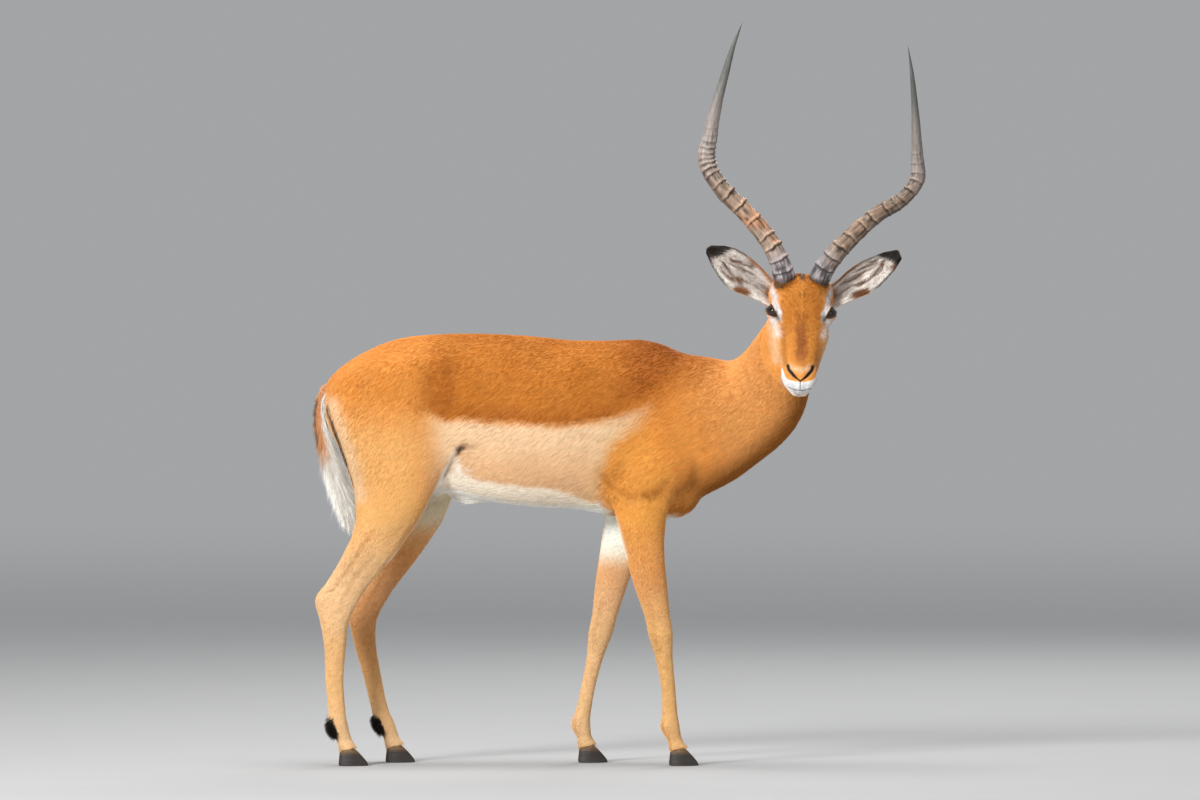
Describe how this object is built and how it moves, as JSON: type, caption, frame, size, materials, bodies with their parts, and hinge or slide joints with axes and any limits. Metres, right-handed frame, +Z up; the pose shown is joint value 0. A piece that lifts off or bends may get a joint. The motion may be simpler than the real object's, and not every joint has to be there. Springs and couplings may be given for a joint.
{
  "type": "impala antelope",
  "caption": "Life-size standing impala ram with lyre-shaped ringed horns, its head turned to look out over its right side; a still display figure that rests on its hooves.",
  "frame": {"origin": "on the floor under the middle of the bounding box", "axes": "+X towards the ram's front, +Y to its left, +Z up"},
  "size_m": [1.2792, 0.4406, 1.5564],
  "materials": {
    "rufous_coat": "short smooth hair, rufous above, tan on the flank, white below",
    "ear_coat": "short hair with long pale hairs inside the cup and a black tip",
    "tail_hair": "long white hair with a dark line along the back",
    "horn": "ridged keratin, smooth and darker toward the tip",
    "eye": "wet gloss, dark brown",
    "hoof": "dull black keratin"
  },
  "bodies": {
    "root": {"trunk": "rufous_coat", "neck": "rufous_coat", "head": "rufous_coat", "leg_fore_left": "rufous_coat", "leg_fore_right": "rufous_coat", "leg_hind_left": "rufous_coat", "leg_hind_right": "rufous_coat", "tail": "tail_hair", "ear_left": "ear_coat", "ear_right": "ear_coat", "eye_left": "eye", "eye_right": "eye", "horn_left": "horn", "horn_right": "horn", "hoof_fore_left_inner": "hoof", "hoof_fore_left_outer": "hoof", "hoof_fore_right_inner": "hoof", "hoof_fore_right_outer": "hoof", "hoof_hind_left_inner": "hoof", "hoof_hind_left_outer": "hoof", "hoof_hind_right_inner": "hoof", "hoof_hind_right_outer": "hoof"}
  },
  "joints": []
}
